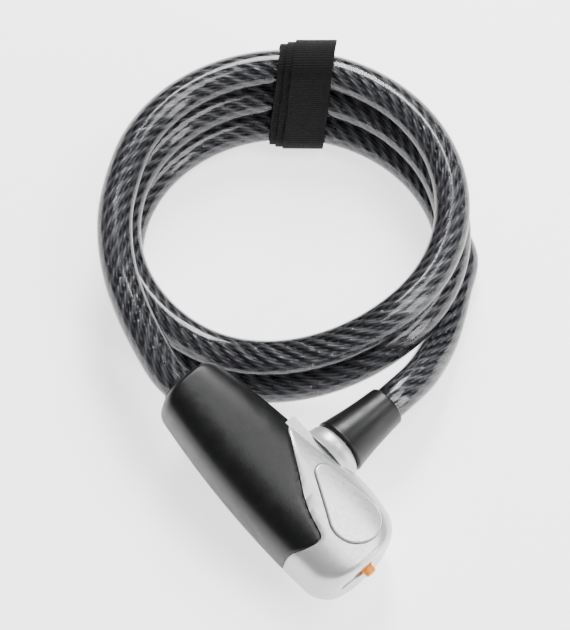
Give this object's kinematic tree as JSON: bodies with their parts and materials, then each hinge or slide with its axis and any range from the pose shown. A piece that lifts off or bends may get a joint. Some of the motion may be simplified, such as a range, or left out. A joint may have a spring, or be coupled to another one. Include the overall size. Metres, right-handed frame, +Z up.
{
  "type": "coiled cable lock",
  "caption": "Keyed cable lock: a rounded two-shell head with a side socket, a thick sheathed steel cable wound in a coil, a plug-in bolt end and a hook-and-loop strap.",
  "frame": {"origin": "under the middle of the head, on the surface that the lock lies on", "axes": "+Z up; +X along the head towards its key end, level; +Y out of the head's socket, towards the bolt end and the coil"},
  "size_m": [0.1714, 0.1493, 0.0424],
  "materials": {
    "grip": "satin",
    "housing": "satin silver",
    "badge": "satin silver",
    "collar": "satin silver",
    "die_cast": "as cast",
    "ferrule": "turned",
    "steel": "plain",
    "bolt_steel": "plated",
    "screw": "zinc plated",
    "brass": "machined",
    "black_rubber": "matte",
    "sleeve": "satin",
    "yellow_plastic": "gloss",
    "cable": "clear smoked sheath over steel strands",
    "strap": "woven"
  },
  "bodies": {
    "head": {"grip_cover": "grip", "key_end_housing": "housing", "badge_plate": "badge", "socket_collar": "collar", "lock_body": "die_cast", "cable_ferrule": "ferrule", "ferrule_pin": "steel", "cable_grommet": "black_rubber", "cover_screws": "screw", "cylinder_barrel": "brass", "barrel_pin": "steel", "eject_spring": "steel", "cable_lead": "cable", "cable_coil": "cable", "cable_tail": "cable", "strap": "strap"},
    "plug": {"key_plug": "brass", "wafer_1": "brass", "wafer_2": "brass", "wafer_3": "brass", "wafer_4": "brass", "wafer_5": "brass", "plug_cam": "steel", "cam_screw": "screw"},
    "latch": {"latch_plate": "steel"},
    "cover": {"dust_cover": "yellow_plastic"},
    "bolt_end": {"locking_bolt": "bolt_steel", "bolt_sleeve": "sleeve", "end_ferrule": "ferrule", "bolt_cross_pin": "steel"}
  },
  "joints": [
    {"name": "key_turn", "type": "hinge", "parent": "head", "child": "plug", "pos_m": [0.00137, -0.0022, 0.01971], "axis": [0.9848, 0, -0.1736], "range_deg": [0, 90]},
    {"name": "latch_slide", "type": "slide", "parent": "head", "child": "latch", "axis": [0.1736, 0, 0.9848], "range_m": [0, 0.003]},
    {"name": "cover_slide", "type": "slide", "parent": "head", "child": "cover", "axis": [0, -1, 0], "range_m": [0, 0.009]},
    {"name": "bolt_pull", "type": "slide", "parent": "head", "child": "bolt_end", "axis": [0, 1, 0], "range_m": [0, 0.027], "deforming": ["cable_tail"]}
  ],
  "couplings": [
    {"joint": "latch_slide", "follows": "key_turn", "m_per_rad": 0.0019099}
  ]
}
